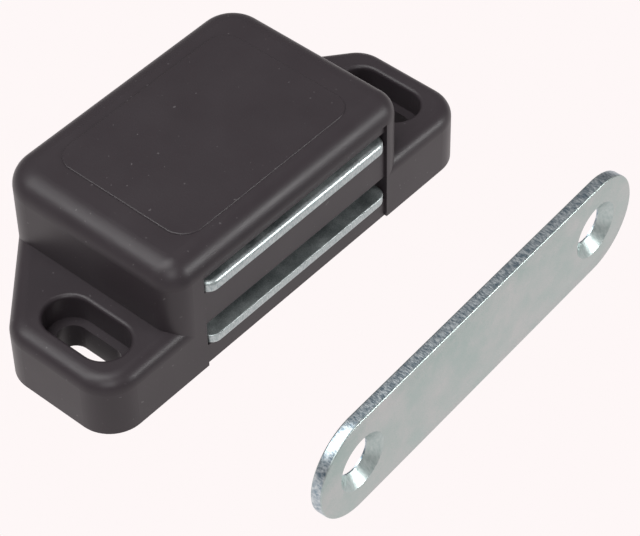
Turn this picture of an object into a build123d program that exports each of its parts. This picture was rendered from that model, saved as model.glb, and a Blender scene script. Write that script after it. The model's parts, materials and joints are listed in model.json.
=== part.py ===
"""Magnetic catch: a screw-on housing with a floating magnet pack, and its strike plate.

The housing is one plastic moulding with a slotted screw ear at each end. It holds a magnet between two
steel pole plates whose edges stand out of the front. The strike plate is screwed to the door, turns
with it about the door's hinge, and lies flat across both pole edges when the door is shut.

Frame: origin on the mounting face, halfway along the catch, in the middle of the front wall's foot.
+X runs along the catch, -Y is the side the poles look to, and +Z points away from the mounting face.
All sizes are in millimetres.
"""
from build123d import *
import os
from math import cos, radians, sin

os.makedirs("parts", exist_ok=True)

# ---------------------------------------------------------------------------------------------
# Driving dimensions
# ---------------------------------------------------------------------------------------------
# Housing block and ears, outside
block_length = 39.1            # the raised block between the ears
block_shift = -0.35            # the block sits this far towards +X of the ears' middle
block_depth = 27.4             # front to back
block_height = 17.5            # mounting face to the top
ear_reach = 11.05              # half the catch's length less half the block's
ear_height = 8.2               # top of the ears
ear_end_depth = 17.9           # end of an ear, over both of its rounded corners
ear_corner_radius = 4.4        # corners at the end of an ear
block_back_radius = 4.7        # upright corners at the back of the block, where the ears run out
block_front_radius = 3.1       # upright corners at the front of the block
block_top_fillet = 2.9
ear_top_fillet = 1.9
panel_length = 28.1            # faintly raised field on the top
panel_depth = 20.1
panel_setback = 3.15           # front of the block to the front of the field
panel_radius = 2.6
panel_rise = 0.15

# Housing walls, inside
front_wall = 1.8
rear_wall = 2.0
roof_thickness = 2.0
ear_wall = 1.6
ear_roof = 1.8
pocket_end_wall = 1.8

# Magnet compartment and the shallow recess in front of it
pocket_length = 30.9
pocket_shift = 0.45            # the compartment sits this far towards +X
recess_depth = 0.35
recess_headroom = 1.3          # upper slot to the top of the recess
slot_headroom = 0.65           # upper pole plate to the top of its slot
bar_undercut = 2.0             # lower pole plate to the bar that keeps the magnet in

# Screw slots, one in each ear, long across the catch
slot_inset = 5.85              # end of the ear to the slot's centre line
slot_setback = 8.9             # front of the block to the middle of a slot
head_slot_length = 11.4        # the wide upper part that takes the screw's head
head_slot_width = 5.9
head_slot_depth = 3.5
head_slot_fillet = 0.5
shank_slot_length = 8.8        # the narrow part that takes the screw's shank
shank_slot_width = 3.7
screw_ledge = 3.4              # thickness of the step that the screw's head bears on

# Magnet pack
magnet_depth = 17.0
magnet_thickness = 7.0
magnet_chamfer = 0.4
magnet_end_step = 0.3          # ends of the magnet inside the ends of the pole plates
pole_thickness = 1.5
pole_corner_radius = 1.5
pole_round_edge = 0.55         # long front edge on a pole plate's outer side
pole_sharp_edge = 0.15         # long front edge on its side towards the magnet
pole_reach = 0.4               # how far the pole edges stand out past the block's front
pole_seat = 2.85               # height of the foot that the lower pole lies on

# Clearances
seat_gap = 0.05                # pack above the foot, and magnet behind the bar, when drawn out
pack_end_gap = 0.25            # pole plates to the ends of the compartment
pack_float = 0.8               # how far the strike can push the pack in
pack_headroom = 0.7            # upper pole to the roof ribs
strike_gap = 0.05              # strike to the pole edges, door shut

# Roof ribs and snap hooks inside the compartment
rib_count = 3
rib_pitch = 10.0
rib_thickness = 1.2
hook_width = 5.0
hook_thickness = 1.3
hook_overlap = 0.8             # how far a hook's nose reaches under the lower pole
hook_nose = 1.6                # height of the nose

# Strike plate, and the door that it is screwed to
strike_length = 57.2
strike_width = 13.4
strike_thickness = 1.5
strike_edge_chamfer = 0.2
strike_hole_pitch = 43.2
strike_hole_radius = 2.35
strike_sink_radius = 3.65
strike_sink_angle = 90.0
strike_shift = 2.35            # middle of the plate, door shut, towards +X
door_radius = 511.7            # door hinge to the middle of the plate
door_opening = 2.565           # degrees, door just opened

# ---------------------------------------------------------------------------------------------
# Derived places
# ---------------------------------------------------------------------------------------------
front_y = -(recess_depth + front_wall / 2)
back_y = front_y + block_depth
recess_y = front_y + recess_depth
pocket_front_y = recess_y + front_wall
pocket_back_y = back_y - rear_wall
pocket_top = block_height - roof_thickness
end_x = block_length / 2 + ear_reach
slot_y = front_y + slot_setback
slot_centres = [(slot_inset - end_x, slot_y), (end_x - slot_inset, slot_y)]
ledge_z = ear_height - head_slot_depth

def mirrored(reach: float, centre_y: float, radius: float, shift: float = 0) -> list[tuple]:
    """Corner circles on both sides of shift, reach out from it: centre x, centre y, radius."""
    return [(shift + side * (reach - radius), centre_y, radius) for side in (-1, 1)]


block_front = mirrored(block_length / 2, front_y + block_front_radius, block_front_radius, block_shift)
block_back = mirrored(block_length / 2, back_y - block_back_radius, block_back_radius, block_shift)
ear_front = mirrored(end_x, front_y + ear_corner_radius, ear_corner_radius)
ear_back = mirrored(end_x, front_y + ear_end_depth - ear_corner_radius, ear_corner_radius)

pole_length = pocket_length - 2 * pack_end_gap
magnet_length = pole_length - 2 * magnet_end_step
lower_pole_z = pole_seat + seat_gap
magnet_z = lower_pole_z + pole_thickness
bar_bottom = magnet_z + bar_undercut
upper_pole_z = magnet_z + magnet_thickness
magnet_front_y = pocket_front_y + seat_gap
pack_rear_y = magnet_front_y + magnet_depth
pole_front_y = front_y - pole_reach
upper_slot_top = upper_pole_z + pole_thickness + slot_headroom
recess_top = upper_slot_top + recess_headroom
rib_bottom = upper_pole_z + pole_thickness + pack_headroom
hook_y = pack_rear_y + pack_float
hook_top_z = lower_pole_z - seat_gap

shut_face_y = pole_front_y - strike_gap
hinge_x = strike_shift + door_radius
strike_x = hinge_x - door_radius * cos(radians(door_opening))
strike_y = shut_face_y - door_radius * sin(radians(door_opening))
strike_plane = Plane(
    origin=(strike_x, strike_y, strike_width / 2),
    x_dir=(cos(radians(door_opening)), sin(radians(door_opening)), 0),
    z_dir=(sin(radians(door_opening)), -cos(radians(door_opening)), 0),
)


def rounded_outline(corners: list[tuple], inset: float = 0) -> Sketch:
    """Outline drawn tight round the corner circles, then drawn in by inset all round."""
    with BuildSketch() as outline:
        for corner_x, corner_y, radius in corners:
            with Locations((corner_x, corner_y)):
                Circle(radius - inset)
        make_hull()
    return outline.sketch


# ---------------------------------------------------------------------------------------------
# Housing: one moulding, hollow from below
# ---------------------------------------------------------------------------------------------
with BuildPart() as housing:
    # Ears and foot
    with BuildSketch():
        add(rounded_outline(ear_front + ear_back + block_back))
    extrude(amount=ear_height)
    fillet(housing.edges().group_by(Axis.Z)[-1], ear_top_fillet)

    # Block between the ears, with its soft top edge
    with BuildSketch():
        add(rounded_outline(block_front + block_back))
    extrude(amount=block_height)
    fillet(housing.edges().group_by(Axis.Z)[-1], block_top_fillet)

    # Raised field on the top
    with BuildSketch(Plane.XY.offset(block_height)):
        with Locations((block_shift, front_y + panel_setback + panel_depth / 2)):
            RectangleRounded(panel_length, panel_depth, panel_radius)
    extrude(amount=panel_rise)

    # Screw slots: a wide upper part with a rounded rim, a ledge, and a narrow lower part
    with BuildSketch(Plane.XY.offset(ear_height)):
        with Locations(*slot_centres):
            SlotOverall(head_slot_length, head_slot_width, rotation=90)
    extrude(amount=-head_slot_depth, mode=Mode.SUBTRACT)
    fillet(housing.edges(Select.LAST).group_by(Axis.Z)[-1], head_slot_fillet)
    with BuildSketch(Plane.XY.offset(ledge_z)):
        with Locations(*slot_centres):
            SlotOverall(shank_slot_length, shank_slot_width, rotation=90)
    extrude(amount=-ledge_z, mode=Mode.SUBTRACT)

    # Cores under the ears: shallow below the screw ledge, deep behind the slot
    pocket_walls_length = pocket_length + 2 * pocket_end_wall
    with BuildSketch():
        add(rounded_outline(ear_front + ear_back + block_back, ear_wall))
        with Locations((pocket_shift, front_y + block_depth / 2)):
            Rectangle(pocket_walls_length, block_depth, mode=Mode.SUBTRACT)
    extrude(amount=ledge_z - screw_ledge, mode=Mode.SUBTRACT)
    slot_end_y = slot_y + head_slot_length / 2 + ear_wall
    with BuildSketch():
        add(rounded_outline(ear_front + ear_back + block_back, ear_wall))
        with Locations((pocket_shift, front_y + block_depth / 2)):
            Rectangle(pocket_walls_length, block_depth, mode=Mode.SUBTRACT)
        with Locations((0, slot_end_y)):
            Rectangle(2 * end_x, block_depth, align=(Align.CENTER, Align.MAX), mode=Mode.SUBTRACT)
    extrude(amount=ear_height - ear_roof, mode=Mode.SUBTRACT)

    # Core in the thicker end wall, on the side that the compartment is shifted away from
    end_core_outer_x = block_shift - (block_length / 2 - pocket_end_wall)
    end_core_inner_x = pocket_shift - pocket_walls_length / 2
    with BuildSketch():
        with Locations((end_core_outer_x, front_y + pocket_end_wall)):
            Rectangle(
                end_core_inner_x - end_core_outer_x,
                block_depth - block_back_radius - pocket_end_wall,
                align=(Align.MIN, Align.MIN),
            )
    extrude(amount=pocket_top, mode=Mode.SUBTRACT)

    # Magnet compartment, open below
    with BuildSketch():
        with Locations((pocket_shift, pocket_front_y)):
            Rectangle(pocket_length, pocket_back_y - pocket_front_y, align=(Align.CENTER, Align.MIN))
    extrude(amount=pocket_top, mode=Mode.SUBTRACT)

    # Shallow recess across the front, and the two slots that leave a foot and a bar
    with BuildSketch():
        with Locations((pocket_shift, front_y)):
            Rectangle(pocket_length, recess_depth, align=(Align.CENTER, Align.MIN))
    extrude(amount=recess_top, mode=Mode.SUBTRACT)
    for slot_bottom, slot_top in ((pole_seat, bar_bottom), (upper_pole_z - seat_gap, upper_slot_top)):
        with BuildSketch(Plane.XY.offset(slot_bottom)):
            with Locations((pocket_shift, recess_y)):
                Rectangle(pocket_length, front_wall, align=(Align.CENTER, Align.MIN))
        extrude(amount=slot_top - slot_bottom, mode=Mode.SUBTRACT)

    # Ribs under the roof, just above the upper pole
    with BuildSketch(Plane.XY.offset(rib_bottom)):
        with Locations((pocket_shift, (pocket_front_y + pocket_back_y) / 2)):
            with GridLocations(rib_pitch, 0, rib_count, 1):
                Rectangle(rib_thickness, pocket_back_y - pocket_front_y)
    extrude(amount=pocket_top - rib_bottom)

    # Snap hooks behind the pack: the beam stops it going back, the nose carries the lower pole
    for hook_x in (pocket_shift - rib_pitch, pocket_shift + rib_pitch):
        with BuildSketch(Plane.YZ.offset(hook_x)):
            with BuildLine():
                Polyline(
                    (hook_y, pocket_top),
                    (hook_y, hook_top_z),
                    (pack_rear_y - hook_overlap, hook_top_z),
                    (hook_y, hook_top_z - hook_nose),
                    (hook_y + hook_thickness, hook_top_z - hook_nose),
                    (hook_y + hook_thickness, pocket_top),
                    close=True,
                )
            make_face()
        extrude(amount=hook_width / 2, both=True)

housing.part.label = "housing"
export_step(housing.part, "parts/housing.step")

# ---------------------------------------------------------------------------------------------
# Magnet pack: a ferrite block between two pole plates
# ---------------------------------------------------------------------------------------------
with BuildPart() as magnet:
    with BuildSketch(Plane.XY.offset(magnet_z)):
        with Locations((pocket_shift, magnet_front_y)):
            Rectangle(magnet_length, magnet_depth, align=(Align.CENTER, Align.MIN))
    extrude(amount=magnet_thickness)
    chamfer(magnet.edges().filter_by(Axis.Z), magnet_chamfer)

magnet.part.label = "magnet"
export_step(magnet.part, "parts/magnet.step")


def pole_plate(bottom_z: float, lower_edge: float, upper_edge: float) -> Part:
    """Pole plate lying at bottom_z, its front corners rounded and its two front edges eased."""
    with BuildPart() as pole:
        with BuildSketch(Plane.XY.offset(bottom_z)) as blank:
            with Locations((pocket_shift, pole_front_y)):
                Rectangle(pole_length, pack_rear_y - pole_front_y, align=(Align.CENTER, Align.MIN))
            fillet(blank.vertices().group_by(Axis.Y)[0], pole_corner_radius)
        extrude(amount=pole_thickness)
        front_edges = pole.edges().filter_by(Axis.X).group_by(Axis.Y)[0].sort_by(Axis.Z)
        fillet(front_edges[0], lower_edge)
        fillet(pole.edges().filter_by(Axis.X).group_by(Axis.Y)[0].sort_by(Axis.Z)[-1], upper_edge)
    return pole.part


lower_pole_plate = pole_plate(lower_pole_z, pole_round_edge, pole_sharp_edge)
lower_pole_plate.label = "lower_pole_plate"
export_step(lower_pole_plate, "parts/lower_pole_plate.step")

upper_pole_plate = pole_plate(upper_pole_z, pole_sharp_edge, pole_round_edge)
upper_pole_plate.label = "upper_pole_plate"
export_step(upper_pole_plate, "parts/upper_pole_plate.step")

# ---------------------------------------------------------------------------------------------
# Strike plate: on edge, door just opened, its countersinks on the side away from the poles
# ---------------------------------------------------------------------------------------------
with BuildPart() as strike_plate:
    with BuildSketch(strike_plane):
        SlotOverall(strike_length, strike_width)
    extrude(amount=strike_thickness)
    chamfer(strike_plate.faces().filter_by(strike_plane).edges(), strike_edge_chamfer)
    with Locations(strike_plane.offset(strike_thickness)):
        with GridLocations(strike_hole_pitch, 0, 2, 1):
            CounterSinkHole(
                radius=strike_hole_radius,
                counter_sink_radius=strike_sink_radius,
                counter_sink_angle=strike_sink_angle,
            )

strike_plate.part.label = "strike_plate"
export_step(strike_plate.part, "parts/strike_plate.step")
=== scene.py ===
"""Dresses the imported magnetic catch: moulded housing, magnet pack and strike plate.

Every length is in metres and every place is in the part's own frame. The origin is on the
mounting face, +X runs along the catch, -Y is the side that the pole plates look to, and +Z
points away from the mounting face.
"""
import json
import logging
from collections.abc import Callable
from dataclasses import dataclass
from enum import Enum
from math import atan2, cos, pi, radians, sin

import bpy
from mathutils import Matrix, Vector


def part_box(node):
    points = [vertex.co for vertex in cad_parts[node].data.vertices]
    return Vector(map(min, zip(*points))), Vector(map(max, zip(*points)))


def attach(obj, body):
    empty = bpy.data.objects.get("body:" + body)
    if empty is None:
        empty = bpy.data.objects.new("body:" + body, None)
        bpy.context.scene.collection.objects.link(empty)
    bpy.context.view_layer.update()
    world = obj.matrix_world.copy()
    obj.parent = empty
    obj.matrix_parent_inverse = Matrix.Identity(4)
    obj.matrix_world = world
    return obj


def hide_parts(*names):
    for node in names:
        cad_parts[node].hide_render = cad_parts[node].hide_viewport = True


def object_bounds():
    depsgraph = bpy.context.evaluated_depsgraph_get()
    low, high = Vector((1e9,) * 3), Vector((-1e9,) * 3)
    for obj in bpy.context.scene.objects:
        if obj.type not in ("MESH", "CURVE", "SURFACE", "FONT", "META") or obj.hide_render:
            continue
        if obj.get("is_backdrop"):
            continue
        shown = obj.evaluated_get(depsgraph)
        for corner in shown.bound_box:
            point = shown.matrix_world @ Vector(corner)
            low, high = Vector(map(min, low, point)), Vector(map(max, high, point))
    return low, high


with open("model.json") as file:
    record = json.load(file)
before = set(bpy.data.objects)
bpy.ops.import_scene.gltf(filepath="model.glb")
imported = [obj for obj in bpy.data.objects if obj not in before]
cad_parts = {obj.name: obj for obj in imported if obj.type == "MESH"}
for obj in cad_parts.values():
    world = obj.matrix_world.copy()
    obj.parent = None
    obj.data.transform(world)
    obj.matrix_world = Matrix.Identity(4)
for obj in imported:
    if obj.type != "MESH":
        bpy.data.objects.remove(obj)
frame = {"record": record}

LOG = logging.getLogger("catch")
MM = 0.001

Colour = tuple[float, float, float]
Span = tuple[float, float]
Socket = bpy.types.NodeSocket
FALLING: Span = (1.0, 0.0)


# -----------------------------------------------------------------------------------------
# Node helpers
# -----------------------------------------------------------------------------------------
class NodeBench:
    """A material's node tree, with short calls for the nodes that the finishes use."""

    def __init__(self, name: str) -> None:
        """Starts a material that holds only a surface shader and its output.

        Args:
            name: The material's name.
        """
        self.material = bpy.data.materials.new(name)
        self.material.use_nodes = True
        self.tree = self.material.node_tree
        self.shader = self.tree.nodes["Principled BSDF"]
        coordinates = self.node("ShaderNodeTexCoord")
        self.place = coordinates.outputs["Object"]
        self.facing = coordinates.outputs["Normal"]

    def node(self, kind: str, **settings: object) -> bpy.types.Node:
        """Adds a node.

        Args:
            kind: The node's type name.
            **settings: Properties that are set on the node.

        Returns:
            The new node.
        """
        made = self.tree.nodes.new(kind)
        for key, value in settings.items():
            setattr(made, key, value)
        return made

    def join(self, source: Socket, target: Socket) -> None:
        """Links an output socket to an input socket."""
        self.tree.links.new(source, target)

    def shade(self, source: Socket, name: str) -> None:
        """Links an output socket to the shader's input of that name."""
        self.join(source, self.shader.inputs[name])

    def stretched(self, scale: Colour) -> Socket:
        """Scales the object's coordinates.

        Args:
            scale: Factors along X, Y and Z.

        Returns:
            The socket that carries the new coordinates.
        """
        mapping = self.node("ShaderNodeMapping")
        mapping.inputs["Scale"].default_value = scale
        self.join(self.place, mapping.inputs["Vector"])
        return mapping.outputs["Vector"]

    def axes(self, vector: Socket) -> list[Socket]:
        """Splits a vector.

        Args:
            vector: The socket that carries it.

        Returns:
            The sockets that carry its X, Y and Z.
        """
        parts = self.node("ShaderNodeSeparateXYZ")
        self.join(vector, parts.inputs[0])
        return list(parts.outputs)

    def noise(self, grain: float, detail: float = 2.0, roughness: float = 0.5,
              place: Socket | None = None) -> Socket:
        """Adds a noise pattern.

        Args:
            grain: Size of a grain, in metres.
            detail: Number of finer layers.
            roughness: How strong the finer layers are.
            place: Coordinates that the pattern reads, or None for the object's own.

        Returns:
            The socket that carries the pattern's value.
        """
        made = self.node("ShaderNodeTexNoise")
        made.inputs["Scale"].default_value = 1.0 / grain
        made.inputs["Detail"].default_value = detail
        made.inputs["Roughness"].default_value = roughness
        self.join(place or self.place, made.inputs["Vector"])
        return made.outputs["Fac"]

    def between(self, value: Socket, span: Span, out: Span = (0.0, 1.0)) -> Socket:
        """Maps a value from one range to another, and holds it inside the second.

        Args:
            value: The socket that carries the value.
            span: Start and end of the first range.
            out: Start and end of the second range.

        Returns:
            The socket that carries the mapped value.
        """
        made = self.node("ShaderNodeMapRange")
        for name, number in zip(("From Min", "From Max", "To Min", "To Max"), (*span, *out)):
            made.inputs[name].default_value = number
        self.join(value, made.inputs["Value"])
        return made.outputs["Result"]

    def maths(self, operation: str, first: Socket, second: Socket | float = 0.0) -> Socket:
        """Combines two values.

        Args:
            operation: Name of the sum, such as MULTIPLY.
            first: The first value's socket.
            second: The second value, a socket or a number.

        Returns:
            The socket that carries the result.
        """
        made = self.node("ShaderNodeMath", operation=operation)
        self.join(first, made.inputs[0])
        if isinstance(second, float):
            made.inputs[1].default_value = second
        else:
            self.join(second, made.inputs[1])
        return made.outputs[0]

    def tint(self, factor: Socket, dark: Colour, light: Colour) -> Socket:
        """Mixes two fixed colours.

        Args:
            factor: Socket with 0 for the dark colour and 1 for the light one.
            dark: Linear colour at 0.
            light: Linear colour at 1.

        Returns:
            The socket that carries the colour.
        """
        ramp = self.node("ShaderNodeValToRGB")
        ramp.color_ramp.elements[0].color = (*dark, 1.0)
        ramp.color_ramp.elements[1].color = (*light, 1.0)
        self.join(factor, ramp.inputs["Fac"])
        return ramp.outputs["Color"]

    def blend(self, factor: Socket, base: Socket, top: Socket | Colour) -> Socket:
        """Lays one colour over another.

        Args:
            factor: Socket with 0 for the base and 1 for the top.
            base: Socket with the base colour.
            top: The colour laid over it, as a socket or a linear colour.

        Returns:
            The socket that carries the colour.
        """
        made = self.node("ShaderNodeMix", data_type="RGBA")
        self.join(factor, made.inputs["Factor"])
        self.join(base, made.inputs[6])
        if isinstance(top, tuple):
            made.inputs[7].default_value = (*top, 1.0)
        else:
            self.join(top, made.inputs[7])
        return made.outputs[2]

    def blend_value(self, factor: Socket, base: Socket, top: Socket) -> Socket:
        """Lays one number over another.

        Args:
            factor: Socket with 0 for the base and 1 for the top.
            base: Socket with the base number.
            top: Socket with the number laid over it.

        Returns:
            The socket that carries the number.
        """
        made = self.node("ShaderNodeMix", data_type="FLOAT")
        for source, target in ((factor, "Factor"), (base, 2), (top, 3)):
            self.join(source, made.inputs[target])
        return made.outputs[0]

    def bump(self, height: Socket, depth: float, below: Socket | None = None) -> Socket:
        """Turns a height pattern into a surface normal.

        Args:
            height: Socket with the height, from 0 to 1.
            depth: Height of the pattern, in metres.
            below: Normal that the bump is laid on, or None.

        Returns:
            The socket that carries the normal.
        """
        made = self.node("ShaderNodeBump")
        made.inputs["Distance"].default_value = depth
        self.join(height, made.inputs["Height"])
        if below is not None:
            self.join(below, made.inputs["Normal"])
        return made.outputs["Normal"]


# -----------------------------------------------------------------------------------------
# Finishes
# -----------------------------------------------------------------------------------------
@dataclass(frozen=True)
class MouldedPlastic:
    """Brown-black moulded plastic, finely grained, and spark-eroded on the raised field.

    Attributes:
        field_height: Height above which the surface belongs to the raised field.
        field_fade: Height over which the field's speckles set in.
        dark: Darker tone of the plastic.
        light: Lighter tone of the plastic.
        cloud: Size of the clouds that the two tones form.
        refraction: Index of refraction.
        gloss: Lowest and highest roughness.
        gloss_span: Values of the clouds between which the roughness changes.
        dust: Colour of the fine dust specks.
        dust_size: Spacing of the specks.
        dust_span: Values of the pattern between which a speck sets in.
        grain: Size of the fine grain.
        grain_depth: Depth of the fine grain.
        speckle: Size of the speckles on the raised field.
        speckle_span: Values of the pattern between which a speckle sets in.
        speckle_depth: Depth of the speckles.
    """

    field_height: float
    field_fade: float = 0.02 * MM
    dark: Colour = (0.0240, 0.0190, 0.0222)
    light: Colour = (0.0300, 0.0245, 0.0282)
    cloud: float = 6.0 * MM
    refraction: float = 1.39
    gloss: Span = (0.37, 0.43)
    gloss_span: Span = (0.3, 0.7)
    dust: Colour = (0.0750, 0.0680, 0.0720)
    dust_size: float = 0.55 * MM
    dust_span: Span = (0.745, 0.79)
    grain: float = 0.35 * MM
    grain_depth: float = 0.003 * MM
    speckle: float = 0.40 * MM
    speckle_span: Span = (0.52, 0.68)
    speckle_depth: float = 0.006 * MM

    def material(self) -> bpy.types.Material:
        """Builds the plastic.

        Returns:
            The material.
        """
        bench = NodeBench("moulded_plastic")
        bench.shader.inputs["IOR"].default_value = self.refraction
        clouds = bench.noise(self.cloud, 3.0)
        fine = bench.noise(self.grain, 2.0)
        specks = bench.between(bench.noise(self.dust_size, 1.0), self.dust_span)
        tone = bench.tint(clouds, self.dark, self.light)
        bench.shade(bench.blend(specks, tone, self.dust), "Base Color")
        bench.shade(bench.between(clouds, self.gloss_span, self.gloss), "Roughness")
        height = bench.axes(bench.place)[2]
        on_field = bench.between(height, (self.field_height - self.field_fade, self.field_height))
        speckles = bench.between(bench.noise(self.speckle, 1.0), self.speckle_span)
        relief = bench.bump(bench.maths("MULTIPLY", speckles, on_field), self.speckle_depth)
        bench.shade(bench.bump(fine, self.grain_depth, relief), "Normal")
        return bench.material


@dataclass(frozen=True)
class Tone:
    """The look of one kind of surface on a plated sheet.

    Attributes:
        dark: Darkest colour.
        light: Lightest colour.
        gloss: Lowest and highest roughness.
    """

    dark: Colour
    light: Colour
    gloss: Span


class ZincTone(Enum):
    """Zinc plating: its rolled faces, its sheared edges, and the slopes between the two."""

    POLE = (Tone((0.24, 0.29, 0.30), (0.62, 0.68, 0.68), (0.50, 0.62)),
            Tone((0.30, 0.36, 0.37), (0.52, 0.57, 0.57), (0.32, 0.40)),
            Tone((0.38, 0.44, 0.44), (0.52, 0.57, 0.57), (0.38, 0.42)))
    STRIKE = (Tone((0.340, 0.425, 0.405), (0.480, 0.500, 0.495), (0.30, 0.42)),
              Tone((0.20, 0.28, 0.34), (0.62, 0.68, 0.70), (0.32, 0.44)),
              Tone((0.38, 0.46, 0.45), (0.50, 0.56, 0.55), (0.38, 0.42)))


@dataclass(frozen=True)
class ZincPlating:
    """Zinc plating on rolled steel: clouded faces, and sheared edges with fine strokes.

    Attributes:
        name: The material's name.
        tone: Colours and roughness of the surfaces.
        face: Index of the axis that the sheet's faces look along.
        patch: Size of the clouds on the faces.
        grit: Size of the fine grit in the clouds.
        grit_share: How much of the clouds the grit makes up.
        cloud_span: Values of the clouds between which the colour changes.
        cloud_depth: Depth of the clouds' relief.
        stroke: Width of the strokes on the edges.
        stroke_stretch: Factors on X, Y and Z that draw the strokes out across the edge.
        stroke_span: Values of the strokes between which the colour changes.
        stroke_depth: Depth of the strokes.
        gloss_span: Values of a pattern between which the roughness changes.
        edge_span: Share of the normal along the face's axis where an edge ends.
        face_span: Share of the normal along the face's axis where a face begins.
    """

    name: str
    tone: ZincTone
    face: int
    patch: float = 5.0 * MM
    grit: float = 0.12 * MM
    grit_share: float = 0.35
    cloud_span: Span = (0.38, 0.62)
    cloud_depth: float = 0.004 * MM
    stroke: float = 0.20 * MM
    stroke_stretch: Colour = (1.0, 0.35, 0.35)
    stroke_span: Span = (0.32, 0.68)
    stroke_depth: float = 0.010 * MM
    gloss_span: Span = (0.35, 0.65)
    edge_span: Span = (0.15, 0.40)
    face_span: Span = (0.86, 0.96)

    def material(self) -> bpy.types.Material:
        """Builds the plating.

        Returns:
            The material.
        """
        rolled, sheared, sloped = self.tone.value
        bench = NodeBench(self.name)
        bench.shader.inputs["Metallic"].default_value = 1.0
        patches = bench.noise(self.patch, 4.0, 0.62)
        strokes = bench.noise(self.stroke, 2.0, 0.6, bench.stretched(self.stroke_stretch))
        clouds = bench.maths("ADD", bench.maths("MULTIPLY", patches, 1.0 - self.grit_share),
                             bench.maths("MULTIPLY", bench.noise(self.grit), self.grit_share))
        turned = bench.maths("ABSOLUTE", bench.axes(bench.facing)[self.face])
        on_edge = bench.between(turned, self.edge_span, FALLING)
        on_slope = bench.maths("MULTIPLY", bench.between(turned, self.edge_span),
                               bench.between(turned, self.face_span, FALLING))
        streaks = bench.between(strokes, self.stroke_span)
        colour = bench.tint(bench.between(clouds, self.cloud_span), rolled.dark, rolled.light)
        gloss = bench.between(patches, self.gloss_span, rolled.gloss)
        for where, tone in ((on_edge, sheared), (on_slope, sloped)):
            colour = bench.blend(where, colour, bench.tint(streaks, tone.dark, tone.light))
            gloss = bench.blend_value(where, gloss, bench.between(strokes, self.gloss_span, tone.gloss))
        bench.shade(colour, "Base Color")
        bench.shade(gloss, "Roughness")
        relief = bench.bump(bench.maths("MULTIPLY", strokes, on_edge), self.stroke_depth)
        bench.shade(bench.bump(clouds, self.cloud_depth, relief), "Normal")
        return bench.material


@dataclass(frozen=True)
class SinteredFerrite:
    """Dull grey-black ferrite with a gritty pressed surface.

    Attributes:
        dark: Colour of the pores.
        light: Colour of the ground surface.
        grit: Size of the grit.
        depth: Depth of the grit.
        roughness: Roughness of the surface.
    """

    dark: Colour = (0.012, 0.012, 0.013)
    light: Colour = (0.035, 0.035, 0.037)
    grit: float = 0.4 * MM
    depth: float = 0.02 * MM
    roughness: float = 0.7

    def material(self) -> bpy.types.Material:
        """Builds the ferrite.

        Returns:
            The material.
        """
        bench = NodeBench("sintered_ferrite")
        bench.shader.inputs["Roughness"].default_value = self.roughness
        grit = bench.noise(self.grit, 4.0, 0.6)
        bench.shade(bench.tint(grit, self.dark, self.light), "Base Color")
        bench.shade(bench.bump(grit, self.depth), "Normal")
        return bench.material


# -----------------------------------------------------------------------------------------
# Mesh helpers
# -----------------------------------------------------------------------------------------
def dress(node: str, material: bpy.types.Material) -> None:
    """Gives a CAD node one material all over.

    Args:
        node: The node's name.
        material: The finish that it gets.
    """
    mesh = bpy.data.objects[node].data
    mesh.materials.clear()
    mesh.materials.append(material)
    LOG.info("dressed %s", node)


def deselect() -> None:
    """Deselects every object, since operators act on all that is selected."""
    bpy.ops.object.select_all(action="DESELECT")


def pick(mesh: bpy.types.Mesh, kind: str, wanted: Callable[[object], bool]) -> None:
    """Selects vertices or edges by a test, and nothing else. Called in object mode.

    Args:
        mesh: The mesh that they belong to.
        kind: VERT or EDGE.
        wanted: Says whether a vertex or an edge is selected.
    """
    bpy.ops.object.mode_set(mode="EDIT")
    bpy.ops.mesh.select_mode(type=kind)
    bpy.ops.mesh.select_all(action="DESELECT")
    bpy.ops.object.mode_set(mode="OBJECT")
    for element in {"VERT": mesh.vertices, "EDGE": mesh.edges}[kind]:
        element.select = wanted(element)


def in_edit(operation: Callable[..., object], **settings: object) -> None:
    """Runs one edit-mode operator on what is selected in the active object.

    Args:
        operation: The operator.
        **settings: What it is called with.
    """
    bpy.ops.object.mode_set(mode="EDIT")
    operation(**settings)
    bpy.ops.object.mode_set(mode="OBJECT")


def settle(piece: bpy.types.Object, name: str, material: bpy.types.Material, node: str,
           smooth: float = 32.0) -> None:
    """Finishes a new piece: place into the mesh, smooth faces, material and body.

    Args:
        piece: The new piece.
        name: Its name.
        material: Its finish.
        node: CAD node whose body it shares.
        smooth: Faces that meet at less than this many degrees are smoothed.
    """
    piece.name = name
    deselect()
    piece.select_set(True)
    bpy.context.view_layer.objects.active = piece
    bpy.ops.object.transform_apply(location=True, rotation=True, scale=True)
    bpy.ops.object.shade_smooth_by_angle(angle=radians(smooth))
    piece.data.materials.clear()
    piece.data.materials.append(material)
    record = frame["record"]
    body = next(key for key, nodes in record["behaviour"]["bodies"].items() if node in nodes)
    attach(piece, body)
    LOG.info("built %s on %s", name, body)


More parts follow.
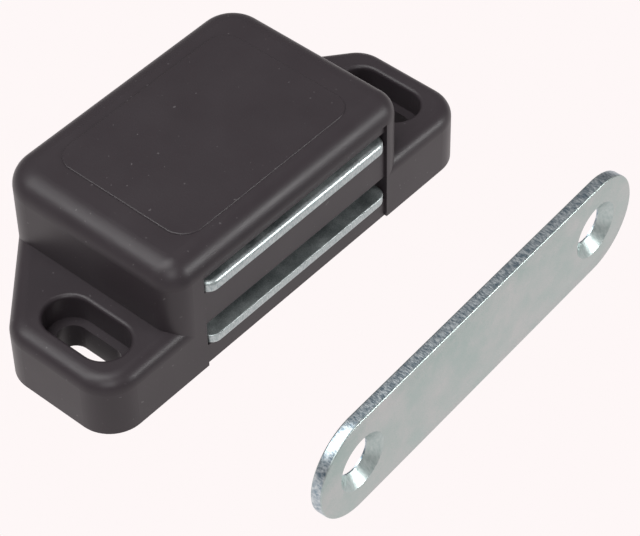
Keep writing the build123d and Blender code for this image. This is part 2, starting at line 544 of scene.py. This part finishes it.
# -----------------------------------------------------------------------------------------
# The part
# -----------------------------------------------------------------------------------------
@dataclass(frozen=True)
class Housing:
    """The moulded housing, with a softly sloped edge round the raised field on its top.

    Attributes:
        field_length: Length of the field.
        field_depth: Front to back.
        field_setback: Front of the block to the front of the field.
        field_corner: Radius of the field's corners.
        field_rise: Height of the field.
        block_shift: From the part's origin to the middle of the block and the field.
        flare: Width of the slope.
        skirt: How far the edge reaches down into the block.
        sink: How far the edge's flat top lies under the field.
        corner_steps: Steps round a corner.
        slope_steps: Steps down the slope.
    """

    field_length: float = 28.1 * MM
    field_depth: float = 20.1 * MM
    field_setback: float = 3.15 * MM
    field_corner: float = 2.6 * MM
    field_rise: float = 0.15 * MM
    block_shift: float = -0.35 * MM
    flare: float = 0.1725 * MM
    skirt: float = 0.1 * MM
    sink: float = 0.004 * MM
    corner_steps: int = 14
    slope_steps: int = 3

    def field_edge(self, material: bpy.types.Material) -> None:
        """Makes the sloped edge round the field.

        Args:
            material: The housing's plastic.
        """
        deselect()
        low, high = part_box("housing")
        height = self.field_rise + self.skirt
        top = high[2] - self.sink
        bpy.ops.mesh.primitive_cube_add(
            size=1.0,
            scale=(self.field_length + 2 * self.flare, self.field_depth + 2 * self.flare, height),
            location=(self.block_shift, low[1] + self.field_setback + self.field_depth / 2,
                      top - height / 2))
        edge = bpy.context.object
        bpy.ops.object.transform_apply(location=True, rotation=False, scale=True)
        mesh = edge.data

        def heights(line: bpy.types.MeshEdge) -> list[float]:
            """Heights of an edge's two ends."""
            return [mesh.vertices[index].co.z for index in line.vertices]

        upright = [max(heights(line)) - min(heights(line)) > height / 2 for line in mesh.edges]
        pick(mesh, "EDGE", lambda line: upright[line.index])
        in_edit(bpy.ops.mesh.bevel, offset=self.field_corner + self.flare, segments=self.corner_steps)
        rim = [all(abs(z - top) < 0.001 * MM for z in heights(line)) for line in mesh.edges]
        pick(mesh, "EDGE", lambda line: rim[line.index])
        in_edit(bpy.ops.mesh.bevel, offset=self.flare, segments=self.slope_steps)
        settle(edge, "field_edge", material, "housing")

    def build(self) -> None:
        """Dresses the housing and adds the field's edge."""
        panel_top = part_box("housing")[1][2]
        plastic = MouldedPlastic(field_height=panel_top).material()
        dress("housing", plastic)
        self.field_edge(plastic)


@dataclass(frozen=True)
class MagnetPack:
    """The magnet between its two pole plates.

    Attributes:
        poles: Names of the pole plates.
    """

    poles: tuple[str, ...] = ("upper_pole_plate", "lower_pole_plate")

    def build(self) -> None:
        """Dresses the magnet and the pole plates."""
        dress("magnet", SinteredFerrite().material())
        zinc = ZincPlating("pole_zinc", ZincTone.POLE, face=2).material()
        for pole in self.poles:
            dress(pole, zinc)


@dataclass(frozen=True)
class StrikePlate:
    """The strike plate with its thin rounded rims and two countersunk holes.

    Attributes:
        length: Overall length.
        thickness: Thickness of the sheet.
        sink_radius: Radius of a countersink at the face.
        rim: Radius of the rims.
        rim_steps: Steps round a rim.
        sharpest: Edges that turn by more than this many degrees get a rim.
        steps: Sides of a full circle.
        spare: How far the countersink's cutter starts in front of the face.
        tip_gap: How much smaller than the hole the cutter's tip is.
    """

    length: float = 57.2 * MM
    thickness: float = 1.5 * MM
    sink_radius: float = 3.65 * MM
    rim: float = 0.18 * MM
    rim_steps: int = 3
    sharpest: float = 38.0
    steps: int = 128
    spare: float = 0.2 * MM
    tip_gap: float = 0.05 * MM

    def blank(self, width: float) -> bpy.types.Object:
        """Makes the plate without its holes, standing on edge across Y.

        Args:
            width: Width of the sheet.

        Returns:
            The plate, its middle at the origin.
        """
        bpy.ops.mesh.primitive_cylinder_add(vertices=self.steps, radius=width / 2, depth=self.thickness,
                                            rotation=(pi / 2, pi / self.steps, 0.0))
        plate = bpy.context.object
        bpy.ops.object.transform_apply(location=False, rotation=True, scale=False)
        for side in (-1, 1):
            pick(plate.data, "VERT", lambda vertex: vertex.co.x * side > 0)
            in_edit(bpy.ops.transform.translate, value=(side * (self.length - width) / 2, 0.0, 0.0))
        rims = plate.modifiers.new("rims", "BEVEL")
        rims.width, rims.segments = self.rim, self.rim_steps
        rims.limit_method, rims.angle_limit = "ANGLE", radians(self.sharpest)
        bpy.ops.object.modifier_apply(modifier=rims.name)
        return plate

    def drill(self, plate: bpy.types.Object, pitch: float, radius: float) -> None:
        """Cuts the two holes and their countersinks, which open towards -Y.

        Args:
            plate: The plate from blank().
            pitch: Distance between the holes.
            radius: Radius of a hole.
        """
        for x in (-pitch / 2, pitch / 2):
            deselect()
            bpy.ops.mesh.primitive_cylinder_add(
                vertices=self.steps, radius=radius, depth=4 * self.thickness,
                location=(x, 0.0, 0.0), rotation=(pi / 2, 0.0, 0.0))
            self.cut(plate, bpy.context.object)
            mouth, tip = self.sink_radius + self.spare, radius - self.tip_gap
            bpy.ops.mesh.primitive_cone_add(
                vertices=self.steps, radius1=mouth, radius2=tip, depth=mouth - tip,
                location=(x, (mouth - tip - self.thickness) / 2 - self.spare, 0.0),
                rotation=(-pi / 2, 0.0, 0.0))
            self.cut(plate, bpy.context.object)

    def cut(self, plate: bpy.types.Object, tool: bpy.types.Object) -> None:
        """Takes a tool's shape away from the plate, and deletes the tool.

        Args:
            plate: The plate.
            tool: The closed shape that is taken away.
        """
        taken = plate.modifiers.new("cut", "BOOLEAN")
        taken.object, taken.operation, taken.solver = tool, "DIFFERENCE", "MANIFOLD"
        bpy.context.view_layer.objects.active = plate
        bpy.ops.object.modifier_apply(modifier=taken.name)
        bpy.data.objects.remove(tool)
        deselect()

    def build(self) -> None:
        """Makes the plate where its solid is, and dresses both."""
        zinc = ZincPlating("strike_zinc", ZincTone.STRIKE, face=1).material()
        dress("strike_plate", zinc)
        deselect()
        low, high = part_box("strike_plate")
        mounts = {mount["name"]: mount for mount in frame["record"]["mounts"]}
        holes = mounts["strike_screw_holes"]
        plate = self.blank(high[2] - low[2])
        self.drill(plate, holes["dims"]["pcd_mm"] * MM, holes["dims"]["hole_r_mm"] * MM)
        outward = Vector(holes["axis"])
        plate.location = Vector(mounts["strike_back_face"]["pos_m"]) + outward * self.thickness / 2
        plate.rotation_euler = (0.0, 0.0, atan2(outward.x, -outward.y))
        settle(plate, "strike_plate_rounded", zinc, "strike_plate")
        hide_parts("strike_plate")


# -----------------------------------------------------------------------------------------
# Studio
# -----------------------------------------------------------------------------------------
def towards(azimuth: float, elevation: float) -> Vector:
    """Unit vector from the part towards a point round it.

    Args:
        azimuth: In degrees, from -Y towards +X.
        elevation: Above the horizon, in degrees.

    Returns:
        The vector.
    """
    a, e = radians(azimuth), radians(elevation)
    return Vector((sin(a) * cos(e), -cos(a) * cos(e), sin(e)))


@dataclass(frozen=True)
class SoftBox:
    """A square area light that looks at the part.

    Attributes:
        name: The light's name.
        azimuth: Direction round the part, in degrees, from -Y towards +X.
        elevation: Height above the horizon, in degrees.
        distance: From the part's middle.
        width: Side of the square.
        power: In watts.
    """

    name: str
    azimuth: float
    elevation: float
    distance: float
    width: float
    power: float

    def build(self, centre: Vector) -> None:
        """Adds the light.

        Args:
            centre: The point that it looks at.
        """
        data = bpy.data.lights.new(self.name, "AREA")
        data.shape, data.size, data.energy = "SQUARE", self.width, self.power
        lamp = bpy.data.objects.new(self.name, data)
        bpy.context.scene.collection.objects.link(lamp)
        back = towards(self.azimuth, self.elevation)
        lamp.location = centre + back * self.distance
        lamp.rotation_mode = "QUATERNION"
        lamp.rotation_quaternion = (-back).to_track_quat("-Z", "Y")


@dataclass(frozen=True)
class Viewpoint:
    """The camera's place and lens.

    Attributes:
        azimuth: Direction round the part, in degrees, from -Y towards +X.
        elevation: Height above the horizon, in degrees.
        roll: Turn about the line of sight, in degrees.
        distance: From the camera to the aim.
        aim: The point in the middle of the picture.
        lens: Focal length in millimetres.
        sensor: Width of the sensor in millimetres.
        clip: Nearest and farthest distance that is seen.
    """

    azimuth: float = -47.918
    elevation: float = 46.421
    roll: float = -1.301
    distance: float = 0.310
    aim: tuple[float, float, float] = (4.35 * MM, -0.85 * MM, 0.1 * MM)
    lens: float = 150.05
    sensor: float = 36.0
    clip: Span = (0.01, 10.0)

    def build(self) -> None:
        """Adds the camera and makes it the scene's own."""
        data = bpy.data.cameras.new("camera")
        data.lens, data.sensor_width = self.lens, self.sensor
        data.clip_start, data.clip_end = self.clip
        camera = bpy.data.objects.new("camera", data)
        bpy.context.scene.collection.objects.link(camera)
        back = towards(self.azimuth, self.elevation)
        right = Vector((cos(radians(self.azimuth)), sin(radians(self.azimuth)), 0.0))
        turned = Matrix((right, back.cross(right), back)).transposed().to_4x4()
        camera.matrix_world = (Matrix.Translation(Vector(self.aim) + back * self.distance) @ turned
                               @ Matrix.Rotation(radians(self.roll), 4, "Z"))
        bpy.context.scene.camera = camera


@dataclass(frozen=True)
class Studio:
    """Floor, surrounding light and soft boxes.

    Attributes:
        glow: Colour of the floor and the surroundings.
        floor_width: Side of the square floor.
        floor_roughness: Roughness of the floor.
        floor_reach: Distances from the origin between which the floor's glow, a painted pool of light,
            falls off.
        far_glow: Strength of the floor's glow farther out, where 1 is its strength near the part.
        shadow_glow: Share of the glow that is left below the ears' slots.
        shadow_x: Middle and half length along X of the shade below each slot.
        shadow_y: Middle and half length along Y of the shade below the slots.
        shadow_fade: Width over which that shade ends.
        sky_rise: Heights between which the surroundings grow brighter, 1 being overhead.
        sky_glow: Strength of the surroundings, low down and high up.
        boxes: The soft boxes.
    """

    glow: Colour = (0.991, 0.930, 0.930)
    floor_width: float = 6.0
    floor_roughness: float = 0.9
    floor_reach: Span = (0.067, 0.110)
    far_glow: float = 0.45
    shadow_glow: float = 0.12
    shadow_x: tuple[Span, ...] = ((-26.9 * MM, 2.7 * MM), (24.75 * MM, 3.0 * MM))
    shadow_y: Span = (7.65 * MM, 5.5 * MM)
    shadow_fade: float = 0.3 * MM
    sky_rise: Span = (0.05, 0.65)
    sky_glow: Span = (0.20, 0.32)
    boxes: tuple[SoftBox, ...] = (
        SoftBox("front_box", 34.0, 18.0, 0.8, 0.24, 2.7),
        SoftBox("back_box", -132.0, 44.0, 0.8, 0.30, 1.9),
        SoftBox("camera_box", -44.0, 42.0, 0.8, 0.44, 2.2),
        SoftBox("top_box", -135.0, 74.0, 0.9, 0.56, 5.4),
    )

    def floor(self) -> None:
        """Adds the pale floor, which glows alike all round the part and takes no cast shadow; its glow
        is a painted pool of light, full near the part and fainter farther out.
        """
        bpy.ops.mesh.primitive_plane_add(size=self.floor_width)
        plane = bpy.context.object
        plane.name = "floor"
        bench = NodeBench("pale_floor")
        bench.shader.inputs["Base Color"].default_value = (0.0, 0.0, 0.0, 1.0)
        bench.shader.inputs["Roughness"].default_value = self.floor_roughness
        bench.shader.inputs["Specular IOR Level"].default_value = 0.0
        bench.shader.inputs["Emission Color"].default_value = (*self.glow, 1.0)
        reach = bench.node("ShaderNodeVectorMath", operation="LENGTH")
        bench.join(bench.place, reach.inputs[0])
        # Painted pool of light: the floor glows at full strength near the part and at far_glow farther
        # out.
        strength = bench.between(reach.outputs["Value"], self.floor_reach, (1.0, self.far_glow))
        bench.shade(bench.maths("MULTIPLY", strength, self.slot_shadows(bench)), "Emission Strength")
        plane.data.materials.append(bench.material)
        plane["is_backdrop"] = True

    def slot_shadows(self, bench: NodeBench) -> Socket:
        """Shades the floor below the screw slots, where the ears keep the light off it.

        Args:
            bench: The floor's material.

        Returns:
            The socket that carries 1 on the open floor and the glow that is left in the shade.
        """
        x, y, _ = bench.axes(bench.place)

        def within(place: Socket, middle: float, half: float) -> Socket:
            """Socket with 1 inside a stretch along one axis and 0 outside it."""
            off = bench.maths("ABSOLUTE", bench.maths("SUBTRACT", place, middle))
            return bench.between(off, (half, half + self.shadow_fade), FALLING)

        across = within(y, *self.shadow_y)
        left, right = (bench.maths("MULTIPLY", within(x, *stretch), across) for stretch in self.shadow_x)
        return bench.between(bench.maths("MAXIMUM", left, right), (0.0, 1.0), (1.0, self.shadow_glow))

    def surroundings(self) -> None:
        """Lights the scene softly from all round, a little brighter from above."""
        world = bpy.data.worlds.new("surroundings")
        world.use_nodes = True
        tree = world.node_tree
        back = tree.nodes["Background"]
        back.inputs["Color"].default_value = (*self.glow, 1.0)
        direction = tree.nodes.new("ShaderNodeTexCoord").outputs["Generated"]
        parts = tree.nodes.new("ShaderNodeSeparateXYZ")
        rise = tree.nodes.new("ShaderNodeMapRange")
        spans = (*self.sky_rise, *self.sky_glow)
        for name, number in zip(("From Min", "From Max", "To Min", "To Max"), spans):
            rise.inputs[name].default_value = number
        tree.links.new(direction, parts.inputs[0])
        tree.links.new(parts.outputs["Z"], rise.inputs["Value"])
        tree.links.new(rise.outputs["Result"], back.inputs["Strength"])
        bpy.context.scene.world = world

    def build(self, centre: Vector) -> None:
        """Adds everything.

        Args:
            centre: The point that the soft boxes look at.
        """
        self.floor()
        self.surroundings()
        for box in self.boxes:
            box.build(centre)
        bpy.context.scene.view_settings.view_transform = "Standard"


def main() -> None:
    """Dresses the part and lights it."""
    logging.basicConfig(level=logging.INFO, format="%(name)s: %(message)s")
    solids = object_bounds()
    deselect()
    Housing().build()
    MagnetPack().build()
    StrikePlate().build()
    Studio().build((solids[0] + solids[1]) / 2)
    Viewpoint().build()


if __name__ == "__main__":
    main()
